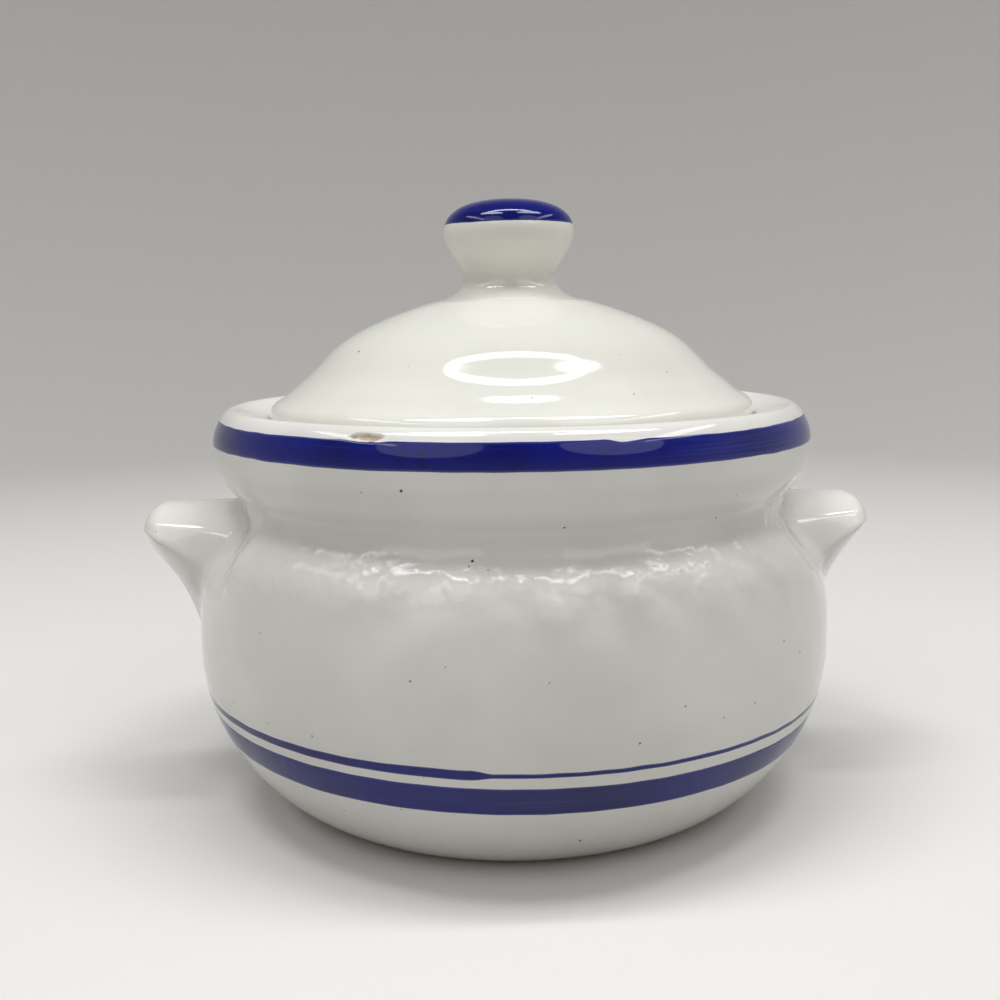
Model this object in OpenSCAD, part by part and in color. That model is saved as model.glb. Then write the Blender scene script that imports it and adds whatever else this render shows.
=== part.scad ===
// Lidded stoneware crock with two lug handles and painted bands, in millimetres.
// The origin is the middle of the foot, on the table; +Z is up and the lugs lie along X.

/* [Crock] */
// Radius of the foot ring at the table
foot_r = 62.5; // [56:0.5:70]
// Slope of the wall where it leaves the foot, in degrees
foot_rise = 8; // [4:1:30]
// How far the wall runs along that slope before it turns up
foot_run = 7; // [3:0.5:14]
// Largest radius of the belly
belly_r = 89; // [82:0.5:100]
// Height of the belly's widest circle above the table
belly_z = 43.5; // [36:0.5:52]
// Height from the belly's widest circle up to the neck
shoulder_h = 40.5; // [32:0.5:48]
// Smallest radius of the neck
neck_r = 77; // [72:0.5:81]
// Height from the neck up to the collar's face
undercut_h = 12; // [9:0.5:16]
// How far the collar stands out past the neck
collar_out = 6; // [4:0.5:10]
// Height of the collar's upright face
collar_h = 3.5; // [2:0.5:8]
// Height of the rounded lip above that face
lip_h = 9; // [6:0.5:13]
// Width of the rounded lip, from the collar's face to its crest
lip_w = 5.5; // [4:0.5:8]
// Thickness of the clay wall
wall = 6.5; // [4:0.25:8]
// Thickness of the floor above the table
floor_t = 7.5; // [5:0.5:10]
// Width of the foot ring that touches the table
foot_w = 8; // [5:0.5:12]
// Depth of the hollow inside the foot ring
foot_hollow = 1.5; // [0.8:0.1:2.5]

/* [Gallery for the lid] */
// Width of the rim from the collar's face to the gallery wall
rim_w = 14.2; // [11:0.2:17]
// Depth of the ledge below the rim's crest
ledge_d = 5.6; // [4:0.2:8]
// Height of the gallery's upright wall above the ledge
gallery_h = 2.4; // [1.5:0.1:3.5]
// Width of the ledge that carries the lid
ledge_w = 5.6; // [4:0.2:8]
// Thickness of the ledge at its inner edge
ledge_t = 5.5; // [4:0.5:8]

/* [Lid] */
// Running clearance round the edge of the lid
gallery_gap = 1; // [0.5:0.1:2]
// Clearance between the lid and the ledge it sits on
seat_gap = 0.3; // [0.2:0.05:0.5]
// Clearance between the locating ring and the throat
ring_gap = 1.2; // [0.6:0.1:2.5]
// Thickness of the locating ring
ring_t = 4; // [3:0.25:6]
// Depth of the locating ring below the seat
ring_d = 6.5; // [4:0.5:10]
// Height of the rounded bead at the edge of the lid
bead_h = 7; // [4:0.2:9]
// Width of the hollow flare between bead and dome
flare_w = 6.5; // [5:0.5:10]
// Height of that flare
flare_h = 4.8; // [3:0.2:8]
// Height of the dome above the flare
dome_h = 21.5; // [15:0.5:30]
// Thickness of the dome
lid_wall = 5.5; // [4:0.25:7]
// Radius where the dome turns up into the knob's neck
cove_r = 22; // [18:0.5:26]
// Height of the turn from dome to neck
cove_h = 6.8; // [4:0.2:10]

/* [Knob] */
// Smallest radius of the knob's neck
knob_neck_r = 13; // [10:0.25:15]
// Largest radius of the knob
knob_r = 18.2; // [15:0.2:24]
// Height from the neck up to the knob's widest circle
knob_h = 12; // [8:0.5:18]
// Height of the knob's crown above that circle
crown_h = 9.6; // [6:0.2:14]

/* [Lugs] */
// Reach of a lug past the belly
lug_reach = 15; // [10:0.5:24]
// Height of a lug's crest over the neck's narrowest circle
lug_lift = -3; // [-6:0.5:1]
// Height of the crest above the lug's tip
lug_tip_drop = 8; // [4:0.5:11]
// Length over which the tip rounds off
lug_tip_round = 6.5; // [4:0.5:10]
// Half width of a lug near its tip
lug_tip_w = 14; // [8:0.5:18]
// How much the half width grows for each millimetre towards the pot
lug_taper = 0.28; // [0.1:0.02:0.6]
// Width that each side gains close to the pot, where clay is smoothed into the wall
lug_flare = 4; // [0:0.5:8]
// Height of the flat side of a lug at its tip
lug_edge = 0.5; // [0.3:0.1:3]
// How much that side grows for each millimetre towards the pot
lug_edge_taper = 0.5; // [0.2:0.01:0.6]
// Drop from the crest to the side ridge, for each millimetre of half width
lug_crown = 0.3; // [0.1:0.01:0.4]

/* [Painted bands] */
// Depth of the cobalt coat
coat_t = 0.5; // [0.3:0.1:0.8]
// Drop from the rim's crest to the rim band's upper edge
rim_band_drop = 3; // [2:0.2:5]
// Width of the rim band
rim_band_w = 6.3; // [3:0.1:8]
// Height of the broad base band's lower edge above the table
base_band_z = 20.8; // [16:0.2:24]
// Width of the broad base band
base_band_w = 7.7; // [4:0.1:10]
// White gap between the broad band and the fine line
base_line_gap = 2.8; // [1:0.1:5]
// Width of the fine line
base_line_w = 1.7; // [0.8:0.1:3]
// Height of the knob's painted cap
cap_h = 7.7; // [4:0.1:9]

/* [Hidden] */
$fn = 128;

clay = [0.80, 0.80, 0.77];
lid_clay = [0.78, 0.79, 0.75];
cobalt = [0.06, 0.07, 0.40];

// Steps along a long curve and along a short one
long_steps = 20;
short_steps = 10;
// Room left when one shape is cut through another
cut = 1;

// Shares of each height that a curve's end stays upright for
belly_full = 0.58;
shoulder_full = 1.0;
neck_full = 0.3;
undercut_full = 0.2;
collar_full = 0.62;
lip_full = 0.35;
knob_full = 0.42;
knob_neck_full = 0.26;
crown_full = 0.6;
crown_flat = 0.72;
cove_full = 0.88;

neck_z = belly_z + shoulder_h;
collar_z = neck_z + undercut_h;
lip_z = collar_z + collar_h;
rim_z = lip_z + lip_h;
collar_r = neck_r + collar_out;
crest_r = collar_r - lip_w;
gallery_r = collar_r - rim_w;
ledge_z = rim_z - ledge_d;
throat_r = gallery_r - ledge_w;
inner_belly_r = belly_r - wall;
inner_neck_r = neck_r - wall;
floor_r = foot_r - wall;

seat_z = ledge_z + seat_gap;
lid_r = gallery_r - gallery_gap;
ring_r = throat_r - ring_gap;
ring_in_r = ring_r - ring_t;
bead_z = seat_z + bead_h;
dome_z = bead_z + flare_h;
cove_z = dome_z + dome_h;
knob_seat_z = cove_z + cove_h;
knob_mid_z = knob_seat_z + knob_h;
knob_top_z = knob_mid_z + crown_h;

// The edge of the lid is rounded by this share of the bead's height
bead_round_share = 0.34;
bead_round = bead_round_share * bead_h;
bead_top_r = lid_r - bead_round;
dome_r = bead_top_r - flare_w;
// Slope of the dome at its top and at its foot, in degrees
dome_top_slope = 17;
dome_foot_slope = 37;
// Lengths of the dome's handles, as shares of its run
dome_top_pull = 0.85;
dome_foot_pull = 0.34;

lug_top_z = neck_z + lug_lift;
lug_tip_x = belly_r + lug_reach;
lug_tip_z = lug_top_z - lug_tip_drop;
// The lug's underside runs out just above and outside the belly's widest circle
lug_foot_proud = 0.5;
lug_foot_x = belly_r + lug_foot_proud;
lug_foot_z = belly_z + lug_foot_proud;
lug_root_x = neck_r - 3 * wall;
// The underside turns up to the tip at this share of its rise
lug_bend_share = 0.74;
lug_bend_z = lug_foot_z + lug_bend_share * (lug_tip_z - lug_foot_z);
// It leaves the belly outwards by this share of the reach
lug_swell_share = 0.375;
// Shares of the half width where the section's crest, shoulder, lower side, flank and keel lie
lug_crest_share = 0.45;
lug_shoulder_share = 0.95;
lug_lower_share = 0.88;
lug_flank_share = 0.4;
lug_keel_share = 0.12;
// Least share of the tip's rounding, so that the last section keeps an area
lug_tip_least = 0.06;
lug_root_steps = 6;
lug_steps = 18;
lug_round_steps = 3;

// Cubic curve from a to d, pulled towards b and c
function curve(a, b, c, d, steps) =
    [for (i = [0 : steps])
        let (t = i / steps, s = 1 - t)
        s * s * s * a + 3 * s * s * t * b + 3 * s * t * t * c + t * t * t * d];

// A list without its first point, to join curves that share an end
function after(points) = [for (i = [1 : len(points) - 1]) points[i]];

// A point moved by a length along a slope
function along(point, slope, reach) = point + reach * [cos(slope), sin(slope)];

// A profile that runs upwards, moved inwards by a depth
function inset(points, depth) =
    [for (i = [0 : len(points) - 1])
        let (run = points[min(i + 1, len(points) - 1)] - points[max(i - 1, 0)])
        points[i] + depth / norm(run) * [-run.y, run.x]];

// Smooth closed curve that touches the middle of each side of a control polygon
function rounded(corners, steps) =
    [for (i = [0 : len(corners) - 1])
        let (b = corners[(i + 1) % len(corners)],
             a = (corners[i] + b) / 2,
             c = (b + corners[(i + 2) % len(corners)]) / 2)
        for (j = [0 : steps - 1])
            let (t = j / steps, s = 1 - t)
            s * s * a + 2 * s * t * b + t * t * c];

// Outer profile of the crock, from the foot up to the crest of the rim
foot_point = [foot_r, 0];
belly_point = [belly_r, belly_z];
neck_point = [neck_r, neck_z];
collar_point = [collar_r, collar_z];
lip_point = [collar_r, lip_z];
crest_point = [crest_r, rim_z];
crock_outer = concat(
    curve(foot_point, along(foot_point, foot_rise, foot_run),
          belly_point - [0, belly_full * belly_z], belly_point, long_steps),
    after(curve(belly_point, belly_point + [0, shoulder_full * shoulder_h],
                neck_point - [0, neck_full * shoulder_h], neck_point, long_steps)),
    after(curve(neck_point, neck_point + [0, undercut_full * undercut_h],
                collar_point - [0, collar_full * undercut_h], collar_point, short_steps)),
    after(curve(lip_point, lip_point + [0, lip_full * lip_h],
                crest_point + [lip_w / 2, 0], crest_point, short_steps)));

// Inner profile, from the crest down over the gallery, ledge and throat to the floor
gallery_point = [gallery_r, ledge_z + gallery_h];
throat_point = [throat_r, ledge_z - ledge_t];
inner_neck_point = [inner_neck_r, neck_z];
inner_belly_point = [inner_belly_r, belly_z];
floor_point = [floor_r, floor_t];
throat_h = throat_point.y - neck_z;
crock_inner = concat(
    curve(crest_point, crest_point - [lip_w / 2, 0],
          gallery_point + [lip_w / 2, 0], gallery_point, short_steps),
    [[gallery_r, ledge_z], [throat_r, ledge_z]],
    curve(throat_point, throat_point - [0, throat_h / 3],
          inner_neck_point + [0, throat_h / 2], inner_neck_point, short_steps),
    after(curve(inner_neck_point, inner_neck_point - [0, neck_full * shoulder_h],
                inner_belly_point + [0, shoulder_full * shoulder_h], inner_belly_point, long_steps)),
    after(curve(inner_belly_point, inner_belly_point - [0, belly_full * belly_z],
                floor_point + [2 * wall, 0], floor_point, long_steps)));

// Outer profile of the lid, from its seat up to the neck where the knob sits
bead_foot_point = [lid_r - bead_round, seat_z];
bead_side_point = [lid_r, seat_z + bead_h / 2];
bead_top_point = [bead_top_r, bead_z];
dome_point = [dome_r, dome_z];
cove_point = [cove_r, cove_z];
knob_seat_point = [knob_neck_r, knob_seat_z];
dome_run = dome_r - cove_r;
lid_dome = curve(dome_point, along(dome_point, 180 - dome_foot_slope, dome_foot_pull * dome_run),
                 along(cove_point, -dome_top_slope, dome_top_pull * dome_run), cove_point, long_steps);
lid_outer = concat(
    curve(bead_foot_point, bead_foot_point + [bead_round / 2, 0],
          bead_side_point - [0, bead_h / 4], bead_side_point, short_steps),
    after(curve(bead_side_point, bead_side_point + [0, bead_h / 4],
                bead_top_point + [bead_round / 2, -bead_round / 4], bead_top_point, short_steps)),
    after(curve(bead_top_point, bead_top_point + [-flare_w / 3, bead_round / 3],
                along(dome_point, -dome_foot_slope, flare_w / 3), dome_point, short_steps)),
    after(lid_dome),
    after(curve(cove_point, cove_point,
                knob_seat_point - [0, cove_full * cove_h], knob_seat_point, short_steps)));

// Outer profile of the knob, from its seat up to the middle of its crown
knob_side_point = [knob_r, knob_mid_z];
knob_top_point = [0, knob_top_z];
knob_outer = concat(
    curve(knob_seat_point, knob_seat_point + [0, knob_neck_full * knob_h],
          knob_side_point - [0, knob_full * knob_h], knob_side_point, long_steps),
    after(curve(knob_side_point, knob_side_point + [0, crown_full * crown_h],
                knob_top_point + [crown_flat * knob_r, 0], knob_top_point, long_steps)));

// Area between an upward profile and the axis
module filled(points) {
    last = points[len(points) - 1];
    polygon(concat(points, [[0, last.y], [0, points[0].y]]));
}

// Skin of a profile between two heights, as deep as the painted coat
module coat(points, low, high) {
    intersection() {
        difference() {
            filled(points);
            polygon(concat([[0, points[0].y - cut]], [[points[0].x - coat_t, points[0].y - cut]],
                           inset(points, coat_t), [[0, points[len(points) - 1].y - coat_t]]));
        }
        translate([0, low]) square([2 * belly_r, high - low]);
    }
}

module rim_band_shape() {
    top = rim_z - rim_band_drop;
    coat(crock_outer, top - rim_band_w, top);
}

module base_band_shape() {
    coat(crock_outer, base_band_z, base_band_z + base_band_w);
}

module base_line_shape() {
    low = base_band_z + base_band_w + base_line_gap;
    coat(crock_outer, low, low + base_line_w);
}

module knob_cap_shape() {
    coat(knob_outer, knob_top_z - cap_h, knob_top_z + cut);
}

// Foot hollow with sloping sides
module foot_hollow_shape() {
    edge = foot_r - foot_w;
    polygon([[0, -cut], [edge + cut, -cut], [edge - foot_hollow, foot_hollow], [0, foot_hollow]]);
}

module crock_body() {
    color(clay) rotate_extrude() difference() {
        filled(crock_outer);
        polygon(concat([[0, rim_z + cut], [crest_r, rim_z + cut]], crock_inner, [[0, floor_t]]));
        foot_hollow_shape();
        rim_band_shape();
        base_band_shape();
        base_line_shape();
    }
}

module rim_band() {
    color(cobalt) rotate_extrude() rim_band_shape();
}

module base_band() {
    color(cobalt) rotate_extrude() base_band_shape();
}

module base_line() {
    color(cobalt) rotate_extrude() base_line_shape();
}

// Hollow under the lid, from below the locating ring up to the ceiling under the knob
module lid_hollow_shape() {
    low = seat_z - ring_d - cut;
    dome = inset(lid_dome, lid_wall);
    ring_top = min(bead_z, dome[0].y);
    polygon(concat([[0, low], [ring_in_r, low], [ring_in_r, ring_top]], dome,
                   [[0, dome[len(dome) - 1].y]]));
}

module lid() {
    color(lid_clay) rotate_extrude() difference() {
        union() {
            filled(lid_outer);
            translate([0, seat_z - ring_d]) square([ring_r, ring_d]);
        }
        lid_hollow_shape();
    }
}

module knob() {
    color(lid_clay) rotate_extrude() difference() {
        filled(knob_outer);
        knob_cap_shape();
    }
}

module knob_cap() {
    color(cobalt) rotate_extrude() knob_cap_shape();
}

// Underside of a lug in its middle plane, from the belly up to the tip
lug_under = curve([lug_foot_x, lug_foot_z],
                  [lug_foot_x + lug_swell_share * lug_reach, lug_bend_z],
                  [lug_tip_x, lug_bend_z], [lug_tip_x, lug_tip_z], lug_steps);

// Share of the tip's rounding that is left at a distance from the axis
function tip_share(x) =
    let (past = max(0, x - lug_tip_x + lug_tip_round) / lug_tip_round)
    sqrt(max(lug_tip_least * lug_tip_least, 1 - past * past));

// Half width of a lug at a distance from the axis
function lug_half(x) =
    let (back = lug_tip_x - x, near = min(1, max(0, belly_r - x) / (belly_r - neck_r)))
    lug_tip_w + lug_taper * back + lug_flare * near * near;

// Section of a lug across X: a crowned top, a flat side between two ridges, and a keel below
function lug_section(x, low) =
    let (share = tip_share(x),
         half = lug_half(x) * share,
         high = lug_tip_z + lug_tip_drop * share,
         edge = (lug_edge + lug_edge_taper * (lug_tip_x - x)) * share,
         upper = high - lug_crown * half,
         lower = upper - edge,
         side = [[half * lug_crest_share, high], [half * lug_shoulder_share, (3 * upper + high) / 4],
                 [half, upper - edge / 5], [half, lower + edge / 5],
                 [half * lug_lower_share, lower - edge / 5], [half * lug_flank_share, (lower + 2 * low) / 3],
                 [half * lug_keel_share, low]],
         corners = concat(side, [for (i = [len(side) - 1 : -1 : 0]) [-side[i].x, side[i].y]]))
    [for (p = rounded(corners, lug_round_steps)) [x, p.x, p.y]];

// Solid through a row of sections with equal point counts
module loft(sections) {
    count = len(sections[0]);
    rows = len(sections);
    points = [for (s = sections) for (p = s) p];
    sides = [for (r = [0 : rows - 2]) for (i = [0 : count - 1])
        let (j = (i + 1) % count, a = r * count, b = a + count)
        each [[a + i, b + i, a + j], [a + j, b + i, b + j]]];
    first = [for (i = [0 : count - 1]) i];
    last = [for (i = [count - 1 : -1 : 0]) (rows - 1) * count + i];
    polyhedron(points, concat(sides, [first], [last]));
}

module lug() {
    difference() {
        loft(concat(
            [for (i = [0 : lug_root_steps - 1])
                lug_section(lug_root_x + (lug_foot_x - lug_root_x) * i / lug_root_steps, lug_foot_z)],
            [for (p = lug_under) lug_section(p.x, p.y)]));
        rotate_extrude() filled(crock_outer);
    }
}

module lug_right() {
    color(clay) lug();
}

module lug_left() {
    color(clay) mirror([1, 0, 0]) lug();
}

crock_body();
lug_left();
lug_right();
rim_band();
base_band();
base_line();
lid();
knob();
knob_cap();
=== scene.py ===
import math

import bpy
import numpy as np
from mathutils import Matrix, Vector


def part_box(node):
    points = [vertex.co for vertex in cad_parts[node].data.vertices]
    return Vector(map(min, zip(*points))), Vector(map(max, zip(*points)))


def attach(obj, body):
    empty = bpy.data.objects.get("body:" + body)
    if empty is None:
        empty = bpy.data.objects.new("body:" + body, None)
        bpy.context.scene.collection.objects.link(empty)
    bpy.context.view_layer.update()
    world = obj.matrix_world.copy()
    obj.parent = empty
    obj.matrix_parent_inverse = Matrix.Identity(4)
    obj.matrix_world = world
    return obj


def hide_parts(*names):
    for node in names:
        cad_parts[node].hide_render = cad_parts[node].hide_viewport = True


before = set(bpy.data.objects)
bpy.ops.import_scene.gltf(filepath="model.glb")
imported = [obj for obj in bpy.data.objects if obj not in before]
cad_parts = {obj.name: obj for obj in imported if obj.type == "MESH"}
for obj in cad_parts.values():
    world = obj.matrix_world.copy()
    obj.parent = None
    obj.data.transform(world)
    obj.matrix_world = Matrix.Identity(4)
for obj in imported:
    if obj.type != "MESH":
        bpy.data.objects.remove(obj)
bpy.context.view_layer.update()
mm = 0.001  # shapes are worked out in millimetres, meshes are in metres
print("frame loaded with", len(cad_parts), "nodes")


# lowest and highest corner of a CAD node, in millimetres
def nodeBox(name):
    low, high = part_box(name)
    return np.array(low) / mm, np.array(high) / mm


# cubic curve: (1-t)^3 a + 3(1-t)^2 t b + 3(1-t) t^2 c + t^3 d
def cubic(t, a, b, c, d):
    return (1 - t) ** 3 * a + 3 * (1 - t) ** 2 * t * b + 3 * (1 - t) * t ** 2 * c + t ** 3 * d


# points along a cubic curve from a to d, pulled towards b and c
def curve(a, b, c, d, count=80):
    t = np.linspace(0, 1, count)[:, None]
    return cubic(t, *(np.array(p, float) for p in (a, b, c, d)))


# a point moved by a length along a slope in degrees
def along(point, slope, reach):
    turn = math.radians(slope)
    return np.array(point, float) + reach * np.array([math.cos(turn), math.sin(turn)])


# smooth step from 0 to 1 between two values
def ease(low, high, value):
    t = np.clip((value - low) / (high - low), 0, 1)
    return t * t * (3 - 2 * t)


# bell of unit height round a middle: exp(-((value - middle) / span)^2)
def bell(value, middle, span):
    return np.exp(-((value - middle) / span) ** 2)


lineStep = 0.1  # profiles are kept as points this far apart, so a place on one counts tenths


# parts joined end to end, spaced evenly, then averaged over a short length so that corners come out soft
def softLine(parts, soft):
    line = np.vstack(parts)
    length = np.r_[0, np.cumsum(np.hypot(*np.diff(line, axis=0).T))]
    fresh = np.r_[True, np.diff(length) > 1e-9]  # joined ends share a point
    even = np.linspace(0, length[-1], int(length[-1] / lineStep) + 1)
    line = np.column_stack([np.interp(even, length[fresh], line[fresh, k]) for k in (0, 1)])
    reach = int(3 * soft / lineStep)  # the bell has died away at three times its width
    weight = np.exp(-0.5 * (np.arange(-reach, reach + 1) * lineStep / soft) ** 2)
    longer = np.pad(line, ((reach, reach), (0, 0)), mode="reflect", reflect_type="odd")
    return np.column_stack([np.convolve(longer[:, k], weight / weight.sum(), "valid") for k in (0, 1)])


# unit vectors square to a line, on the right of its run, which is outside on these profiles
def normalsOf(line):
    run = np.gradient(line, axis=0)
    return np.column_stack([run[:, 1], -run[:, 0]]) / np.hypot(run[:, 0], run[:, 1])[:, None]


# places along a line, a widest step apart, and closer where a step would turn by more than an angle
def spacedPlaces(line, least, widest, turn):
    run = np.gradient(line, axis=0)
    length = np.hypot(run[:, 0], run[:, 1])
    bend = np.abs(np.gradient(np.unwrap(np.arctan2(run[:, 1], run[:, 0])))) / length
    step = np.clip(turn / np.maximum(bend, 1e-6), least, widest)
    count = np.cumsum(length / step)
    count = count - count[0]
    return np.interp(np.linspace(0, count[-1], int(count[-1]) + 2), count, np.arange(len(line)))


# a row of angles, evenly once round
def onceRound(count):
    return np.linspace(-math.pi, math.pi, count, endpoint=False)[None, :]


# one column of a profile, read at fractional places
def at(values, places):
    return np.interp(places, np.arange(len(values)), values)


# sum of cosines in angle and height with seeded phases, of unit size on average
def waveField(seed, count, turns, rises):
    draw = np.random.default_rng(seed)
    around = draw.integers(turns[0], turns[1] + 1, count)
    upward = draw.choice([-1, 1], count) * 2 * math.pi / draw.uniform(rises[0], rises[1], count)
    phase = draw.uniform(0, 2 * math.pi, count)

    def field(angle, height):
        total = 0
        for n, k, p in zip(around, upward, phase):
            total = total + np.cos(n * angle + k * height + p)
        return total * math.sqrt(2 / count)

    return field


# a new object in the scene
def addObject(name, data):
    thing = bpy.data.objects.new(name, data)
    bpy.context.scene.collection.objects.link(thing)
    return thing


# grid of points to a closed mesh: columns wrap round, rows close in two poles or wrap round as well
def gridPiece(name, grid, poles=None, marks=None, sharpRows=()):
    rows, cols = grid.shape[:2]
    points = grid.reshape(-1, 3)
    index = np.arange(rows * cols).reshape(rows, cols)
    if poles is None:
        index = np.vstack([index, index[:1]])  # the first row closes the last one
    beside = np.roll(index, -1, axis=1)
    quads = np.stack([index[:-1], beside[:-1], beside[1:], index[1:]], -1).reshape(-1, 4)
    fans = np.empty((0, 3), int)
    if poles is not None:
        first, last = np.full(cols, rows * cols), np.full(cols, rows * cols + 1)
        fans = np.vstack([np.stack([first, beside[0], index[0]], -1),
                          np.stack([index[-1], beside[-1], last], -1)])
        points = np.vstack([points, poles])
    corners = points[quads]
    volume = np.einsum("ij,ij->i", corners[:, 0], np.cross(corners[:, 1], corners[:, 2])).sum()
    volume += np.einsum("ij,ij->i", corners[:, 0], np.cross(corners[:, 2], corners[:, 3])).sum()
    if volume < 0:  # the surface is inside out
        quads, fans = quads[:, ::-1], fans[:, ::-1]
    mesh = bpy.data.meshes.new(name)
    mesh.from_pydata((points * mm).tolist(), [], quads.tolist() + fans.tolist(), shade_flat=False)
    for label, values in (marks or {}).items():
        flat = np.zeros(len(points), np.float32)
        flat[:rows * cols] = np.broadcast_to(values, (rows, cols)).ravel()
        mesh.attributes.new(label, "FLOAT", "POINT").data.foreach_set("value", flat)
    if len(sharpRows):
        ends = np.empty(len(mesh.edges) * 2, np.int32)
        mesh.edges.foreach_get("vertices", ends)
        row = ends.reshape(-1, 2) // cols
        sharp = (row[:, 0] == row[:, 1]) & np.isin(row[:, 0], np.array(sharpRows) % rows)
        mesh.attributes.new("sharp_edge", "BOOLEAN", "EDGE").data.foreach_set("value", sharp)
    print("  made", name, "with", len(quads) + len(fans), "faces")
    return addObject(name, mesh)


# places a finished piece: its finish, its body, the node that it stands for and its slot
def settle(piece, body, node, material):
    piece.data.materials.append(material)
    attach(piece, body)
    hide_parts(node)


# shader tools: a node with its options and inputs, then short forms for the common ones
def addNode(tree, kind, inputs=None, **options):
    node = tree.nodes.new(kind)
    for name, value in options.items():
        setattr(node, name, value)
    for name, value in (inputs or {}).items():
        if isinstance(value, bpy.types.NodeSocket):
            tree.links.new(value, node.inputs[name])
        else:
            node.inputs[name].default_value = value
    return node


def calc(tree, operation, a, b=0.0):
    return addNode(tree, "ShaderNodeMath", {0: a, 1: b}, operation=operation).outputs[0]


def mixColors(tree, factor, a, b):
    return addNode(tree, "ShaderNodeMix", {0: factor, 6: a, 7: b}, data_type="RGBA").outputs[2]


def remap(tree, value, low, high, toLow=0.0, toHigh=1.0):
    inputs = {"Value": value, "From Min": low, "From Max": high, "To Min": toLow, "To Max": toHigh}
    return addNode(tree, "ShaderNodeMapRange", inputs, interpolation_type="SMOOTHSTEP").outputs[0]


def noise(tree, vector, scale, detail=2.0, rough=0.5):
    inputs = {"Vector": vector, "Scale": scale, "Detail": detail, "Roughness": rough}
    return addNode(tree, "ShaderNodeTexNoise", inputs).outputs[0]


def objectPlace(tree):
    return addNode(tree, "ShaderNodeTexCoord").outputs["Object"]


def stretched(tree, scale):
    return addNode(tree, "ShaderNodeMapping", {"Vector": objectPlace(tree), "Scale": scale}).outputs[0]


def pieceMark(tree, name):
    return addNode(tree, "ShaderNodeAttribute", attribute_name=name).outputs["Fac"]


def startGroup(name, inputs, outputs):
    tree = bpy.data.node_groups.new(name, "ShaderNodeTree")
    for label, kind, value in inputs:
        tree.interface.new_socket(label, in_out="INPUT", socket_type=kind).default_value = value
    for label, kind in outputs:
        tree.interface.new_socket(label, in_out="OUTPUT", socket_type=kind)
    return tree, tree.nodes.new("NodeGroupInput").outputs, tree.nodes.new("NodeGroupOutput").inputs


def useGroup(tree, group, inputs):
    return addNode(tree, "ShaderNodeGroup", inputs, node_tree=group).outputs


floatKind, colorKind = "NodeSocketFloat", "NodeSocketColor"


# cloudy glaze: two tones in soft patches, a slow ripple on the surface, gloss that varies a little
def makeGlazeFlow():
    tree, given, out = startGroup(
        "glazeFlow",
        [("Pale", colorKind, (1, 1, 1, 1)), ("Deep", colorKind, (0.5, 0.5, 0.5, 1)),
         ("Patch Scale", floatKind, 30.0), ("Ripple Scale", floatKind, 120.0),
         ("Gloss", floatKind, 0.08)],
        [("Color", colorKind), ("Roughness", floatKind), ("Height", floatKind)])
    toneRange, glossRange, glossSpread = (0.35, 0.7), (0.3, 0.75), (0.8, 1.35)
    place = objectPlace(tree)
    patch = noise(tree, place, given["Patch Scale"], detail=3.0)
    ripple = noise(tree, place, given["Ripple Scale"], detail=1.0)
    color = mixColors(tree, remap(tree, patch, *toneRange), given["Pale"], given["Deep"])
    tree.links.new(color, out["Color"])
    spread = remap(tree, patch, *glossRange, *glossSpread)
    tree.links.new(calc(tree, "MULTIPLY", spread, given["Gloss"]), out["Roughness"])
    tree.links.new(ripple, out["Height"])
    return tree


# iron specks: a dot at the middle of some cells of a cell pattern, each with its own size
def makeIronSpecks():
    tree, given, out = startGroup(
        "ironSpecks",
        [("Color", colorKind, (1, 1, 1, 1)), ("Speck Color", colorKind, (0.05, 0.04, 0.03, 1)),
         ("Scale", floatKind, 180.0), ("Share", floatKind, 0.5), ("Size", floatKind, 0.07)],
        [("Color", colorKind), ("Mask", floatKind)])
    sizeSpread, core = (0.45, 1.3), 0.5  # smallest and largest dot, share of a dot that is full dark
    cells = addNode(tree, "ShaderNodeTexVoronoi", {"Vector": objectPlace(tree), "Scale": given["Scale"]})
    chance = addNode(tree, "ShaderNodeSeparateColor", {"Color": cells.outputs["Color"]}).outputs
    size = calc(tree, "MULTIPLY", remap(tree, chance[1], 0.0, 1.0, *sizeSpread), given["Size"])
    dot = remap(tree, cells.outputs["Distance"], size, calc(tree, "MULTIPLY", size, core))
    mask = calc(tree, "MULTIPLY", dot, calc(tree, "LESS_THAN", chance[0], given["Share"]))
    tree.links.new(mixColors(tree, mask, given["Color"], given["Speck Color"]), out["Color"])
    tree.links.new(mask, out["Mask"])
    return tree


# bare clay where the mask is 1: sandy colour and grain in place of the glaze
def makeBareClay():
    tree, given, out = startGroup(
        "bareClay",
        [("Color", colorKind, (1, 1, 1, 1)), ("Roughness", floatKind, 0.1), ("Mask", floatKind, 0.0),
         ("Clay", colorKind, (0.5, 0.38, 0.27, 1)), ("Dark Clay", colorKind, (0.3, 0.2, 0.13, 1))],
        [("Color", colorKind), ("Roughness", floatKind), ("Grain", floatKind)])
    grainScale, toneRange, clayRough = 900.0, (0.35, 0.7), 0.75
    grain = noise(tree, objectPlace(tree), grainScale, detail=3.0, rough=0.6)
    clay = mixColors(tree, remap(tree, grain, *toneRange), given["Clay"], given["Dark Clay"])
    tree.links.new(mixColors(tree, given["Mask"], given["Color"], clay), out["Color"])
    rough = calc(tree, "MULTIPLY_ADD", given["Mask"], clayRough)
    tree.links.new(given["Roughness"], rough.node.inputs[2])
    tree.links.new(rough, out["Roughness"])
    tree.links.new(calc(tree, "MULTIPLY", grain, given["Mask"]), out["Grain"])
    return tree


glazeFlow, ironSpecks, bareClay = makeGlazeFlow(), makeIronSpecks(), makeBareClay()


# a new material with its Principled shader
def startMaterial(name):
    material = bpy.data.materials.new(name)
    material.use_nodes = True
    tree = material.node_tree
    return material, tree, tree.nodes["Principled BSDF"]


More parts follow.
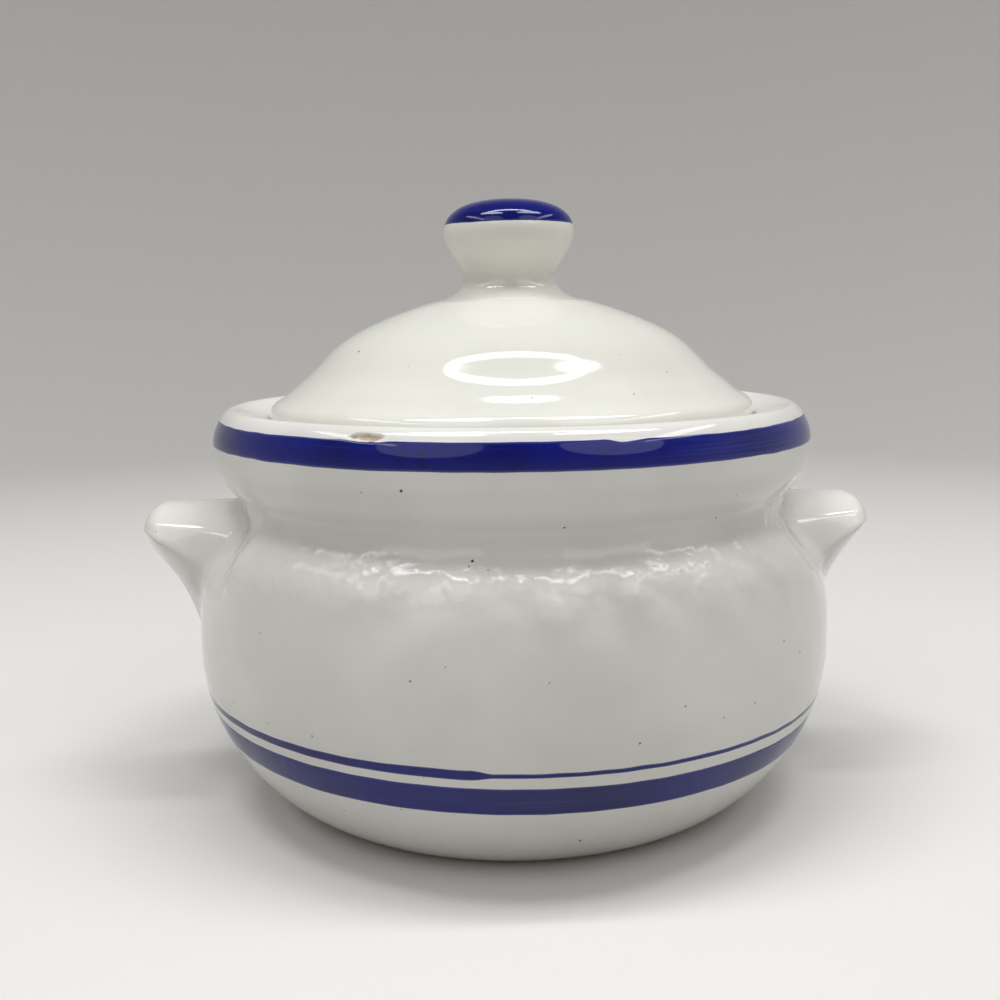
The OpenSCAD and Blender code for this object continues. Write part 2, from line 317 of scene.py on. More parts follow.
# off-white stoneware glaze: flow, faint and dark specks with pits, and finger strokes and bare clay
# where the piece's own marks put them
def makeGlaze(look):
    material, tree, shader = startMaterial(look["name"])
    flow = useGroup(tree, glazeFlow, {"Pale": look["pale"], "Deep": look["deep"], "Gloss": look["gloss"],
                                      "Patch Scale": look["patchScale"], "Ripple Scale": look["rippleScale"]})

    def specks(color, kind):
        return useGroup(tree, ironSpecks, {"Color": color, "Speck Color": look[kind + "Color"],
                                           "Scale": look[kind + "Scale"], "Share": look[kind + "Share"],
                                           "Size": look[kind + "Size"]})

    dark = specks(specks(flow["Color"], "faint")["Color"], "speck")
    bare, handled = pieceMark(tree, "bare"), pieceMark(tree, "handled")
    drawn = noise(tree, stretched(tree, look["strokeScale"]), scale=1.0, detail=2.5)
    peel = noise(tree, objectPlace(tree), look["peelScale"], detail=1.0)
    peel = calc(tree, "MULTIPLY", peel, look["peelDepth"])
    stroke = calc(tree, "ADD", calc(tree, "MULTIPLY", drawn, look["strokeDepth"]), peel)
    stroke = calc(tree, "MULTIPLY", stroke, handled)
    body = useGroup(tree, bareClay, {"Color": dark["Color"], "Roughness": flow["Roughness"], "Mask": bare,
                                     "Clay": look["clay"], "Dark Clay": look["darkClay"]})
    pit = calc(tree, "MULTIPLY", dark["Mask"], look["pitDepth"])
    height = calc(tree, "SUBTRACT", calc(tree, "MULTIPLY", flow["Height"], look["rippleDepth"]), pit)
    height = calc(tree, "ADD", height, calc(tree, "MULTIPLY", body["Grain"], look["grainDepth"]))
    height = calc(tree, "ADD", height, stroke)
    bump = addNode(tree, "ShaderNodeBump", {"Height": height, "Distance": mm})
    tree.links.new(body["Color"], shader.inputs["Base Color"])
    dulled = calc(tree, "MULTIPLY", handled, look["strokeRough"])
    tree.links.new(calc(tree, "ADD", body["Roughness"], dulled), shader.inputs["Roughness"])
    tree.links.new(bump.outputs[0], shader.inputs["Normal"])
    shader.inputs["IOR"].default_value = look["ior"]
    return material


crockLook = {
    "name": "crockGlaze", "pale": (0.79, 0.78, 0.745, 1), "deep": (0.725, 0.715, 0.675, 1),
    "patchScale": 28.0, "rippleScale": 95.0, "rippleDepth": 0.05, "gloss": 0.075,
    "faintColor": (0.42, 0.38, 0.32, 1), "faintScale": 170.0, "faintShare": 0.6, "faintSize": 0.06,
    "speckColor": (0.05, 0.04, 0.032, 1), "speckScale": 120.0, "speckShare": 0.75, "speckSize": 0.045,
    "pitDepth": 0.12, "clay": (0.60, 0.47, 0.34, 1), "darkClay": (0.47, 0.35, 0.24, 1), "grainDepth": 0.05,
    "strokeScale": (80.0, 80.0, 62.0), "strokeDepth": 1.9, "strokeRough": 0.13,
    "peelScale": 480.0, "peelDepth": 0.10, "ior": 1.52,
}
lidLook = dict(
    crockLook, name="lidGlaze", pale=(0.77, 0.77, 0.71, 1), deep=(0.715, 0.715, 0.65, 1),
    speckShare=0.2, faintShare=0.3, rippleDepth=0.02, gloss=0.06)
cobaltLook = {
    "name": "cobaltGlaze", "full": (0.0035, 0.007, 0.165, 1), "dense": (0.002, 0.0045, 0.10, 1),
    "thin": (0.012, 0.018, 0.22, 1), "dry": (0.045, 0.055, 0.27, 1), "edge": (0.11, 0.13, 0.38, 1),
    "streak": (14.0, 14.0, 1500.0), "overlap": (330.0, 330.0, 90.0),
    "patchScale": 42.0, "gloss": 0.07, "rippleScale": 110.0, "rippleDepth": 0.035, "specular": 0.35,
    "thinStreaks": (0.5, 0.78, 0.0, 0.7), "overlapEdge": (0.4, 0.6), "dryStreaks": (0.35, 0.75, 0.1, 0.7),
    "fringeStreaks": (0.25, 0.65, 0.45, 1.0),
}


# brushed cobalt: streaks along the brush's way, dense and thin patches, double and dry strokes where the
# band's load says so, a paler fringe at the edges
def makeCobalt(look):
    material, tree, shader = startMaterial(look["name"])
    streak = noise(tree, stretched(tree, look["streak"]), scale=1.0, detail=3.0, rough=0.6)
    flow = useGroup(tree, glazeFlow, {"Pale": look["full"], "Deep": look["dense"], "Gloss": look["gloss"],
                                      "Patch Scale": look["patchScale"], "Ripple Scale": look["rippleScale"]})
    color = mixColors(tree, remap(tree, streak, *look["thinStreaks"]), flow["Color"], look["thin"])
    load = pieceMark(tree, "load")
    patchy = noise(tree, stretched(tree, look["overlap"]), scale=1.0)
    patchy = remap(tree, patchy, *look["overlapEdge"])
    twice = calc(tree, "MULTIPLY", calc(tree, "MAXIMUM", load, 0.0), patchy)
    color = mixColors(tree, twice, color, look["dense"])
    spent = calc(tree, "MAXIMUM", calc(tree, "MULTIPLY", load, -1.0), 0.0)
    dry = calc(tree, "MULTIPLY", spent, remap(tree, streak, *look["dryStreaks"]))
    color = mixColors(tree, dry, color, look["dry"])
    fringe = calc(tree, "MULTIPLY", pieceMark(tree, "fringe"), remap(tree, streak, *look["fringeStreaks"]))
    tree.links.new(mixColors(tree, fringe, color, look["edge"]), shader.inputs["Base Color"])
    tree.links.new(flow["Roughness"], shader.inputs["Roughness"])
    height = calc(tree, "MULTIPLY", flow["Height"], look["rippleDepth"])
    bump = addNode(tree, "ShaderNodeBump", {"Height": height, "Distance": mm})
    tree.links.new(bump.outputs[0], shader.inputs["Normal"])
    shader.inputs["Specular IOR Level"].default_value = look["specular"]
    return material


crockGlaze, lidGlaze, cobaltGlaze = makeGlaze(crockLook), makeGlaze(lidLook), makeCobalt(cobaltLook)
print("materials made")

# the crock: lengths in millimetres, its foot's slope in degrees, turns and bends in radians; its widest
# radius and its height come from the frame
crockHigh = nodeBox("crock_body")[1]
crock = {
    "footR": 62.5, "footRise": 8, "footRun": 7, "bellyR": crockHigh[0], "bellyZ": 43.5,
    "neckR": 77, "neckZ": 84, "collarR": 83, "collarZ": 96, "lipZ": 99.5, "crestR": 77.5,
    "rimZ": crockHigh[2], "galleryR": 68.8, "galleryH": 2.4, "ledgeDrop": 5.6, "throatR": 63.2, "ledgeT": 5.5,
    "bellyFull": 0.58, "shoulderFull": 1.0, "neckFull": 0.3, "undercutFull": 0.2, "collarFull": 0.62,
    "lipFull": 0.35,
    "wall": 6.5, "floorT": 7.5, "floorR": 56, "footW": 8, "footHollow": 1.5, "soft": 0.45,
    "oval": 0.12, "ovalTurn": 0.6, "lumpZ": 73, "lumpSpan": 9, "lump": 0.19, "dentZ": 75, "dentSpan": 8.5,
    "ripple": 0.02, "ringZ": 86, "ringSpan": 5, "ringDepth": 0.02, "ringPitch": 3.1,
    "bareInner": 1.0, "bareLow": 0.15, "bareHigh": 0.5,  # bare foot ring: past its inside, up to here
    "step": 2.0, "lugStep": 1.2, "outStep": 1.25, "inStep": 3.0, "leastStep": 0.55, "bendStep": 0.16,
    "overRim": 6.0, "overFoot": 6.0, "trialColumns": 7200,
}
# a flake is missing from the rim's outer edge, and the clay shows
chip = {"angle": math.radians(-117.6), "height": 106.4, "long": 5.2, "tall": 1.15, "depth": 0.6, "step": 0.3,
        "reach": 7.0, "wall": 0.3, "bareFrom": 0.22, "bareFull": 0.4,
        "ragged": ({"size": 0.10, "along": 5.1, "up": 2.3, "phase": 0.0},
                   {"size": 0.07, "along": 11.3, "up": -1.7, "phase": 1.0})}


# half profile of the crock as CAD has it: underside, outer wall, rim, gallery, throat, inside, floor
def crockProfile(c):
    foot, belly = np.array([c["footR"], 0.0]), np.array([c["bellyR"], c["bellyZ"]])
    neck, collar = np.array([c["neckR"], c["neckZ"]]), np.array([c["collarR"], c["collarZ"]])
    lip, crest = np.array([c["collarR"], c["lipZ"]]), np.array([c["crestR"], c["rimZ"]])
    rise, under, lipW = c["neckZ"] - c["bellyZ"], c["collarZ"] - c["neckZ"], c["collarR"] - c["crestR"]
    ledgeZ = c["rimZ"] - c["ledgeDrop"]
    gallery = np.array([c["galleryR"], ledgeZ + c["galleryH"]])
    throat = np.array([c["throatR"], ledgeZ - c["ledgeT"]])
    inNeck, inBelly = neck - [c["wall"], 0], belly - [c["wall"], 0]
    floor, throatH = np.array([c["floorR"], c["floorT"]]), ledgeZ - c["ledgeT"] - c["neckZ"]
    ringIn = c["footR"] - c["footW"]
    base = [[0, c["footHollow"]], [ringIn - c["footHollow"], c["footHollow"]], [ringIn, 0]]
    outer = [curve(foot, along(foot, c["footRise"], c["footRun"]),
                   belly - [0, c["bellyFull"] * c["bellyZ"]], belly),
             curve(belly, belly + [0, c["shoulderFull"] * rise], neck - [0, c["neckFull"] * rise], neck),
             curve(neck, neck + [0, c["undercutFull"] * under],
                   collar - [0, c["collarFull"] * under], collar),
             curve(lip, lip + [0, c["lipFull"] * (c["rimZ"] - c["lipZ"])], crest + [lipW / 2, 0], crest)]
    inner = [curve(crest, crest - [lipW / 2, 0], gallery + [lipW / 2, 0], gallery),
             [[c["galleryR"], ledgeZ], [c["throatR"], ledgeZ]],
             curve(throat, throat - [0, throatH / 3], inNeck + [0, throatH / 2], inNeck),
             curve(inNeck, inNeck - [0, c["neckFull"] * rise],
                   inBelly + [0, c["shoulderFull"] * rise], inBelly),
             curve(inBelly, inBelly - [0, c["bellyFull"] * c["bellyZ"]], floor + [2 * c["wall"], 0], floor),
             [[0, c["floorT"]]]]
    return softLine([base] + outer + inner, c["soft"])


crockLine = crockProfile(crock)
crockNormal = normalsOf(crockLine)
crockCrest = int(np.argmax(crockLine[:, 1]))
crockFoot = int(np.argmin(np.hypot(crockLine[:, 0] - crock["footR"], crockLine[:, 1])))
shoulderLumps = waveField(seed=11, count=40, turns=(9, 52), rises=(14, 60))
wallRipple = waveField(seed=12, count=16, turns=(3, 12), rises=(25, 90))

# the shoulder was pressed in round each lug: a hollow with a crisp outer edge, wider at the top
press = {"depth": 5.5, "middle": 73.5, "above": 6.5, "below": 9.0,
         "heights": (46, 57, 64, 69, 77, 86), "widest": 60}
pressSides = ({"start": 0.0, "reach": (24, 38, 47, 53, 59, 60), "width": 26.0, "crisp": 3.0},
              {"start": math.pi, "reach": (24, 38, 44, 44, 44, 44), "width": 17.0, "crisp": 0.8})


# angle from one direction to another, between minus a half turn and a half turn
def turnFrom(angles, start):
    return (angles - start + math.pi) % (2 * math.pi) - math.pi


# depth of the hollows: full inside an outline that widens upwards, dying away above and below a middle
def thumbPress(angle, height):
    total = 0
    for side in pressSides:
        reach = np.interp(height, press["heights"], side["reach"])
        room = reach - np.abs(turnFrom(angle, side["start"])) * crock["collarR"]
        room = (room + np.sqrt(room ** 2 + side["crisp"] ** 2)) / 2 / side["width"]
        total = total + 1 - (1 - np.minimum(room, 1)) ** 2
    span = np.where(height > press["middle"], press["above"], press["below"])
    return press["depth"] * total * bell(height, press["middle"], span)


# shallow slanting flats that fingers left on the front of the shoulder, in millimetres
fingerFlats = (
    {"angle": math.radians(-110.5), "height": 69.5, "wide": 6.5, "tall": 8.0, "depth": 0.85, "slant": -0.45},
    {"angle": math.radians(-80.0), "height": 68.0, "wide": 4.5, "tall": 9.0, "depth": 0.9, "slant": 0.3},
    {"angle": math.radians(-69.0), "height": 69.5, "wide": 4.5, "tall": 8.0, "depth": 0.75, "slant": 0.6})


# each flat is a bell in height and along the wall, its middle shifting sideways with the height
def flatDepth(angle, height):
    total = 0
    for flat in fingerFlats:
        upward = height - flat["height"]
        sideways = turnFrom(angle, flat["angle"]) * crock["collarR"] + flat["slant"] * upward
        total = total + flat["depth"] * np.exp(-(sideways / flat["wide"]) ** 2 - (upward / flat["tall"]) ** 2)
    return total


# hand-made unevenness of the wall: a slight oval, lumps on the shoulder, slow ripples and turning rings
# on the neck, less the pressed hollows and the finger flats
def crockSwell(angle, height):
    c = crock
    lumps = c["lump"] * bell(height, c["lumpZ"], c["lumpSpan"]) * shoulderLumps(angle, height)
    rings = bell(height, c["ringZ"], c["ringSpan"]) * np.sin(2 * math.pi * height / c["ringPitch"])
    swell = c["oval"] * np.cos(2 * angle + c["ovalTurn"]) + lumps
    swell = swell + c["ripple"] * wallRipple(angle, height) + c["ringDepth"] * rings
    return swell - thumbPress(angle, height) - flatDepth(angle, height)


# point of the crock's surface: its profile at a place, carried round by an angle, moved out along the normal
def crockPoint(place, angle, proud=0.0):
    r, z = at(crockLine[:, 0], place), at(crockLine[:, 1], place)
    r = r + proud * at(crockNormal[:, 0], place) + crockSwell(angle, z) * np.clip(r / crock["footR"], 0, 1)
    z = z + proud * at(crockNormal[:, 1], place)
    return np.stack(np.broadcast_arrays(r * np.cos(angle), r * np.sin(angle), z), -1)


# place on the outer wall at a height
def wallPlace(height):
    places = np.arange(crockFoot, crockCrest + 1)
    return np.interp(height, crockLine[crockFoot:crockCrest + 1, 1], places)


# share of finger strokes at a height of the shoulder
def handledAt(height):
    return bell(height, crock["dentZ"], crock["dentSpan"])


# columns of the crock: a trial ring, counted off in wide steps, and in finer ones near the lugs and the chip
def crockColumns(c):
    fine = onceRound(c["trialColumns"])[0]
    fromLug = np.minimum(np.abs(turnFrom(fine, 0)), np.abs(turnFrom(fine, math.pi))) * c["bellyR"]
    step = np.where(fromLug < press["widest"], c["lugStep"], c["step"])
    step = np.where(np.abs(turnFrom(fine, chip["angle"])) * c["bellyR"] < chip["reach"], chip["step"], step)
    count = np.cumsum(2 * math.pi * c["bellyR"] / len(fine) / step)
    return np.interp(np.arange(0, int(count[-1])), count, fine)


# whole crock: its profile carried round, with a ragged lens of glaze flaked off at the chip
def makeCrock():
    c = crock
    places = np.arange(len(crockLine))
    outside = (places > crockFoot) & (places < crockCrest + c["overRim"] / lineStep)
    widest = np.where(outside, c["outStep"], c["inStep"])
    nearChip = np.abs(places - wallPlace(chip["height"])) * lineStep < 2 * chip["tall"]
    widest = np.where(nearChip, chip["step"], widest)
    rows = spacedPlaces(crockLine, c["leastStep"], widest, c["bendStep"])[1:-1, None]
    angles = crockColumns(c)[None, :]
    print("  crock rows and columns", rows.size, angles.size)
    sideways = (angles - chip["angle"]) * c["crestR"] / chip["long"]
    upward = (rows - wallPlace(chip["height"])) * lineStep / chip["tall"]
    ragged = sum(w["size"] * np.cos(w["along"] * sideways + w["up"] * upward + w["phase"])
                 for w in chip["ragged"])
    lens = 1 - sideways ** 2 - np.abs(upward) + ragged * (np.abs(sideways) < 1)
    flake, bareFlake = ease(0.0, chip["wall"], lens), ease(chip["bareFrom"], chip["bareFull"], lens)
    r, z = at(crockLine[:, 0], rows), at(crockLine[:, 1], rows)
    footRing = ease(c["bareHigh"], c["bareLow"], z) * (rows < crockFoot + c["overFoot"] / lineStep)
    footRing = footRing * (r > c["footR"] - c["footW"] - c["bareInner"])
    grid = crockPoint(rows, angles, -chip["depth"] * flake * (1 + ragged))
    poles = [[0, 0, c["footHollow"]], [0, 0, c["floorT"]]]
    handled = handledAt(z) * (rows < crockCrest)
    piece = gridPiece("crockBody", grid, poles, {"bare": np.maximum(bareFlake, footRing), "handled": handled})
    settle(piece, "crock", "crock_body", crockGlaze)


print("crock")
makeCrock()

# a lug handle; its reach and its top come from the frame
lugHigh = nodeBox("lug_right")[1]
lug = {
    "tipX": lugHigh[0], "topZ": lugHigh[2], "tipDrop": 8, "tipRound": 6.5,
    "bendShare": 0.74, "swellShare": 0.375, "footProud": 0.5,
    "tipW": 14, "taper": 0.28, "flare": 4.0, "edge": 1.0, "edgeTaper": 0.5, "crown": 0.3, "rootX": 58,
    "sides": (0.42, 0.81, 0.88, 0.985, 0.93, 0.4, 0.12),  # share of the half width at each corner
    "leftLift": 0.5, "rightLift": -0.5, "leftReach": 0.4, "rightReach": -0.4,
    "crownShare": 0.2, "bevel": 0.12,  # how high the crown's shoulders lie, how far the side's edges are cut
    "sideFillet": 5.5, "topFillet": 4.0, "underFillet": 4.0,
    "sideBite": 3.5, "topBite": 4.0, "underBite": 1.2,
    "topFrom": 73, "topFull": 79, "underFrom": 62, "underFull": 46,  # heights of the top and the underside
    "filletPull": 0.62, "skirt": 2.4, "skirtDip": 0.05, "backDepth": 3.0, "backRings": (0.3, 0.65, 0.97),
    "columns": 196, "straightRows": 30, "tipRows": 16, "filletRows": 14, "skirtRows": 5,
    "trialRows": 400, "smoothSpan": 6, "nudge": 0.1,
}


# corner polygon of a lug's section at a distance from the axis, as CAD has it but with its side edges cut
def lugCorners(x, share):
    g = lug
    back = g["tipX"] - x
    near = np.clip((crock["bellyR"] - x) / (crock["bellyR"] - crock["neckR"]), 0, 1)
    half = (g["tipW"] + g["taper"] * back + g["flare"] * near ** 2) * share
    tipZ = g["topZ"] - g["tipDrop"]
    footX, footZ = crock["bellyR"] + g["footProud"], crock["bellyZ"] + g["footProud"]
    bendZ = footZ + g["bendShare"] * (tipZ - footZ)
    swellX = footX + g["swellShare"] * (g["tipX"] - crock["bellyR"])
    under = curve([footX, footZ], [swellX, bendZ], [g["tipX"], bendZ], [g["tipX"], tipZ], g["trialRows"])
    low = np.interp(x, under[:, 0], under[:, 1])
    high = tipZ + g["tipDrop"] * share
    edge = (g["edge"] + g["edgeTaper"] * back) * share
    upper = high - g["crown"] * half
    lower = upper - edge
    y = np.stack([half * s for s in g["sides"]])
    cut = g["bevel"] * edge
    z = np.stack([high, upper + g["crownShare"] * (high - upper), upper - cut, lower + cut, lower - cut,
                  (lower + 2 * low) / 3, low])
    return np.concatenate([y, -y[::-1]]), np.concatenate([z, z[::-1]])


# point of a lug: a smooth closed curve through the middles of the corner polygon's sides, where a turn
# of 1 is one corner
def lugPoint(x, turn, share=1.0):
    x, turn, share = np.broadcast_arrays(x, turn, share)
    y, z = lugCorners(x, share)
    count = len(y)
    i = np.floor(turn).astype(int)
    t = (turn - i)[..., None]
    a, b, c = (np.stack([np.take_along_axis(v, ((i + k) % count)[None], 0)[0] for v in (y, z)], -1)
               for k in range(3))
    side = (1 - t) ** 2 * (a + b) / 2 + 2 * t * (1 - t) * b + t ** 2 * (b + c) / 2
    return np.concatenate([x[..., None], side], -1)


# whole lug: back inside the wall, a skirt just under the glaze, a fillet, the lug's own sides, a round tip
def makeLug(name, node, side, reach, lift):
    g = lug
    shift = np.array([reach, 0, lift])
    turn = np.linspace(0, 2 * len(g["sides"]), g["columns"], endpoint=False)
    xs = np.linspace(g["rootX"], g["tipX"] - g["tipRound"], g["trialRows"])
    lines = lugPoint(xs[:, None], turn[None, :]) + shift
    wallR = at(crockLine[:, 0], wallPlace(lines[..., 2]))
    wallR = wallR - thumbPress(np.arctan2(lines[..., 1], lines[..., 0] * side), lines[..., 2])
    inside = np.hypot(lines[..., 0], lines[..., 1]) < wallR
    cross = xs[len(xs) - 1 - np.argmax(inside[::-1], axis=0)]
    hit = lugPoint(cross, turn) + shift
    top = ease(g["topFrom"], g["topFull"], hit[:, 2])
    under = ease(g["underFrom"], g["underFull"], hit[:, 2])
    bite = (1 - top - under) * g["sideBite"] + top * g["topBite"] + under * g["underBite"]
    fillet = (1 - top - under) * g["sideFillet"] + top * g["topFillet"] + under * g["underFillet"]
    flat = np.column_stack([np.arctan2(hit[:, 1], hit[:, 0]) * crock["bellyR"], hit[:, 2]])
    run = sum(np.roll(flat, -k, axis=0) - np.roll(flat, k, axis=0) for k in range(1, g["smoothSpan"] + 1))
    out = np.column_stack([-run[:, 1], run[:, 0]]) / np.hypot(run[:, 0], run[:, 1])[:, None]
    middle = flat.mean(axis=0)
    out = out * np.sign(((flat - middle) * out).sum(axis=1).mean())

    def onWall(spot, proud):
        angle = spot[..., 0] / crock["bellyR"]
        return crockPoint(wallPlace(spot[..., 1]), angle if side > 0 else math.pi - angle, proud)

    def outwards(distance):
        return flat + distance[:, None] * out

    def turned(points):
        return (points + shift) * np.array([side, 1, 1])

    start, nudge = cross + bite, g["nudge"]
    bitePoint = turned(lugPoint(start, turn))
    biteRun = turned(lugPoint(start - nudge, turn)) - turned(lugPoint(start + nudge, turn))
    land = onWall(outwards(fillet), 0)
    landRun = onWall(outwards(fillet + nudge), 0) - onWall(outwards(fillet - nudge), 0)
    corner = hit * np.array([side, 1, 1])

    def pull(run, a, b):
        length = np.linalg.norm(a - b, axis=1)[:, None]
        return run / np.linalg.norm(run, axis=1)[:, None] * length * g["filletPull"]

    b, c = bitePoint + pull(biteRun, bitePoint, corner), land - pull(landRun, land, corner)
    t = np.linspace(1, 0, g["filletRows"])[:, None, None]
    filletGrid = cubic(t, bitePoint, b, c, land)
    away = np.linspace(g["skirt"], 0, g["skirtRows"])[:-1]
    skirtGrid = np.stack([onWall(outwards(fillet + d), -g["skirtDip"] * d ** 2) for d in away])
    outline = outwards(fillet + g["skirt"])
    backGrid = np.stack([onWall(middle + s * (outline - middle), -g["backDepth"]) for s in g["backRings"]])
    share = np.linspace(0, 1, g["straightRows"] + 1)[1:, None]
    straight = turned(lugPoint(start + share * (g["tipX"] - g["tipRound"] - start), turn[None, :]))
    bend = np.linspace(0, math.pi / 2, g["tipRows"] + 1)[1:-1, None]
    tip = turned(lugPoint(g["tipX"] - g["tipRound"] * (1 - np.sin(bend)), turn[None, :], np.cos(bend)))
    grid = np.concatenate([backGrid, skirtGrid, filletGrid, straight, tip])
    poles = [onWall(middle, -g["backDepth"]), turned(np.array([g["tipX"], 0, g["topZ"] - g["tipDrop"]]))]
    wallRows, ownRows = len(backGrid) + len(skirtGrid), len(straight) + len(tip)
    fade = np.r_[np.ones(wallRows), np.linspace(1, 0, g["filletRows"]), np.zeros(ownRows)]
    piece = gridPiece(name, grid, poles, {"handled": handledAt(grid[..., 2]) * fade[:, None]})
    settle(piece, "crock", node, crockGlaze)


print("lugs")
makeLug("lugLeft", "lug_left", -1, lug["leftReach"], lug["leftLift"])
makeLug("lugRight", "lug_right", 1, lug["rightReach"], lug["rightLift"])

paint = {"proud": 0.05, "edgeDip": 0.03, "edgeRun": 0.35, "backDepth": 0.35, "fringe": 0.55,
         "columns": 720, "rows": 15}


# height of the paint at a distance from its edge: a slight dip at the edge, then proud of the glaze
def paintLift(fromEdge):
    return ease(0, paint["edgeRun"], fromEdge) * (paint["proud"] + paint["edgeDip"]) - paint["edgeDip"]


# closed strip of paint on the crock between two edges given as places: proud outside, its back in the clay
def paintStrip(name, node, lowPlace, highPlace, angles, load=0.0):
    v = 0.5 - 0.5 * np.cos(np.linspace(0, math.pi, paint["rows"]))[:, None]
    width = highPlace - lowPlace
    fromEdge = np.minimum(v, 1 - v) * (width * lineStep)
    front = crockPoint(lowPlace + v * width, angles, paintLift(fromEdge))
    back = crockPoint(lowPlace + v[::-1] * width, angles, -paint["backDepth"])
    fringe = 1 - ease(0, paint["fringe"], fromEdge)
    piece = gridPiece(name, np.concatenate([front, back]), None,
                      {"fringe": np.concatenate([fringe, np.ones_like(fringe)]), "load": load})
    settle(piece, "crock", node, cobaltGlaze)


bandEdges = waveField(seed=21, count=10, turns=(2, 9), rises=(40, 80))
bandTremble = waveField(seed=22, count=12, turns=(14, 60), rises=(40, 80))
slowApart, quickApart = 37.0, 53.0  # each edge reads the waves at a height of its own


# waver of a brush edge in millimetres: slow swings and a small tremble, different for each edge
def waver(angles, which, slow, quick):
    return slow * bandEdges(angles, slowApart * which) + quick * bandTremble(angles, quickApart * which)


# the rim's band dips round the chip and where the glaze has bled into it; one stroke starts over another
# and dries out
def makeRimBand():
    band = {"slow": 0.06, "quick": 0.035, "bleed": math.radians(-78), "bleedStart": 0.03, "bleedRun": 0.12,
            "bleedDeep": 0.7, "chipDip": 0.3, "chipWide": 0.06, "raise": 0.3,
            "overlap": math.radians(-108.5), "overlapWide": 0.07,
            "dryStart": math.radians(-72), "dryFull": math.radians(-56),
            "freshStart": -0.5, "freshFull": -0.2}
    low, high = nodeBox("rim_band")
    angles = onceRound(paint["columns"])
    after = turnFrom(angles, band["bleed"])
    bleed = ease(-band["bleedStart"], band["bleedStart"], after) * (1 - ease(0, band["bleedRun"], after))
    dip = band["bleedDeep"] * bleed
    dip = dip + band["chipDip"] * np.exp(-(turnFrom(angles, chip["angle"]) / band["chipWide"]) ** 4)
    lower = wallPlace(low[2] + waver(angles, 1, band["slow"], band["quick"]))
    upper = wallPlace(high[2] + band["raise"] - dip + waver(angles, 2, band["slow"], band["quick"]))
    load = bell(turnFrom(angles, band["overlap"]), 0, band["overlapWide"])
    dry = ease(band["dryStart"], band["dryFull"], angles)
    load = load - dry * ease(band["freshFull"], band["freshStart"], angles)
    paintStrip("rimBand", "rim_band", lower, upper, angles, load)


# the broad band is one even strip, tilted so that it sinks on one side
def makeBaseBand():
    band = {"slow": 0.06, "quick": 0.03, "tilt": 1.4, "tiltWay": math.radians(-145), "shift": -0.35}
    low, high = nodeBox("base_band")
    angles = onceRound(paint["columns"])
    tilt = band["shift"] + band["tilt"] * np.cos(angles - band["tiltWay"])
    lower = wallPlace(low[2] + tilt + waver(angles, 3, band["slow"], band["quick"]))
    upper = wallPlace(high[2] + tilt + waver(angles, 4, band["slow"], band["quick"]))
    paintStrip("baseBand", "base_band", lower, upper, angles)


# the fine line is one stroke round the pot: loaded at its start, drier and thinner as it comes round again
def makeBaseLine():
    line = {"start": math.radians(-97), "loaded": 2.9, "dry": 1.35, "fade": 0.25, "swell": 0.010,
            "sag": 0.6, "slow": 0.04, "quick": 0.03,
            "tilt": 1.05, "tiltWay": math.radians(-145), "shift": -0.35}
    low = nodeBox("base_line")[0]
    angles = onceRound(paint["columns"])
    stroke = ((line["start"] - angles) / (2 * math.pi)) % 1
    load = np.exp(-stroke / line["fade"]) * ease(0, line["swell"], stroke)
    width = line["dry"] + (line["loaded"] - line["dry"]) * load
    tilt = line["shift"] + line["tilt"] * np.cos(angles - line["tiltWay"])
    bottom = low[2] + tilt - line["sag"] * load + waver(angles, 5, line["slow"], line["quick"])
    lower = wallPlace(bottom)
    upper = wallPlace(bottom + width + waver(angles, 6, 0, line["quick"]))
    paintStrip("baseLine", "base_line", lower, upper, angles)


print("painted bands")
makeRimBand()
makeBaseBand()
makeBaseLine()

# the lid and its knob; radii and heights at their ends come from the frame
lidLow, lidHigh = nodeBox("lid")
knobHigh = nodeBox("knob")[1]
capLow = nodeBox("knob_cap")[0]
lid = {
    "edgeR": lidHigh[0], "ringZ": lidLow[2], "seatZ": 103.2, "ringR": 62, "ringIn": 58,
    "beadH": 7, "beadRound": 2.38,
    "flareW": 6.5, "flareH": 4.8, "coveR": 22, "coveZ": 136.5, "neckR": 13, "neckZ": lidHigh[2], "wall": 5.5,
    "topSlope": 17, "footSlope": 37, "topPull": 0.85, "footPull": 0.34, "coveFull": 0.88, "soft": 0.4,
    "oval": 0.07, "ovalTurn": 1.9, "ripple": 0.012, "stillR": 9, "looseR": 45, "lean": 0.22,
    "bareInner": 0.4, "bareLow": 0.5, "bareHigh": 1.2,  # bare ring and seat: from inside, up to here
    "columns": 288, "outStep": 0.9, "inStep": 1.8, "leastStep": 0.5, "bendStep": 0.14, "underEdge": 4.0,
}
knob = {"R": knobHigh[0], "midZ": 155.3, "topZ": knobHigh[2], "neckFull": 0.26, "full": 0.42,
        "crownFull": 0.6, "crownFlat": 0.72, "soft": 0.2,
        "columns": 144, "step": 0.6, "leastStep": 0.3, "bendStep": 0.1,
        "capEdge": capLow[2], "slow": 0.06, "quick": 0.015, "capRows": 46, "capCrowd": 1.3}
lidRipple = waveField(seed=31, count=18, turns=(2, 14), rises=(18, 60))


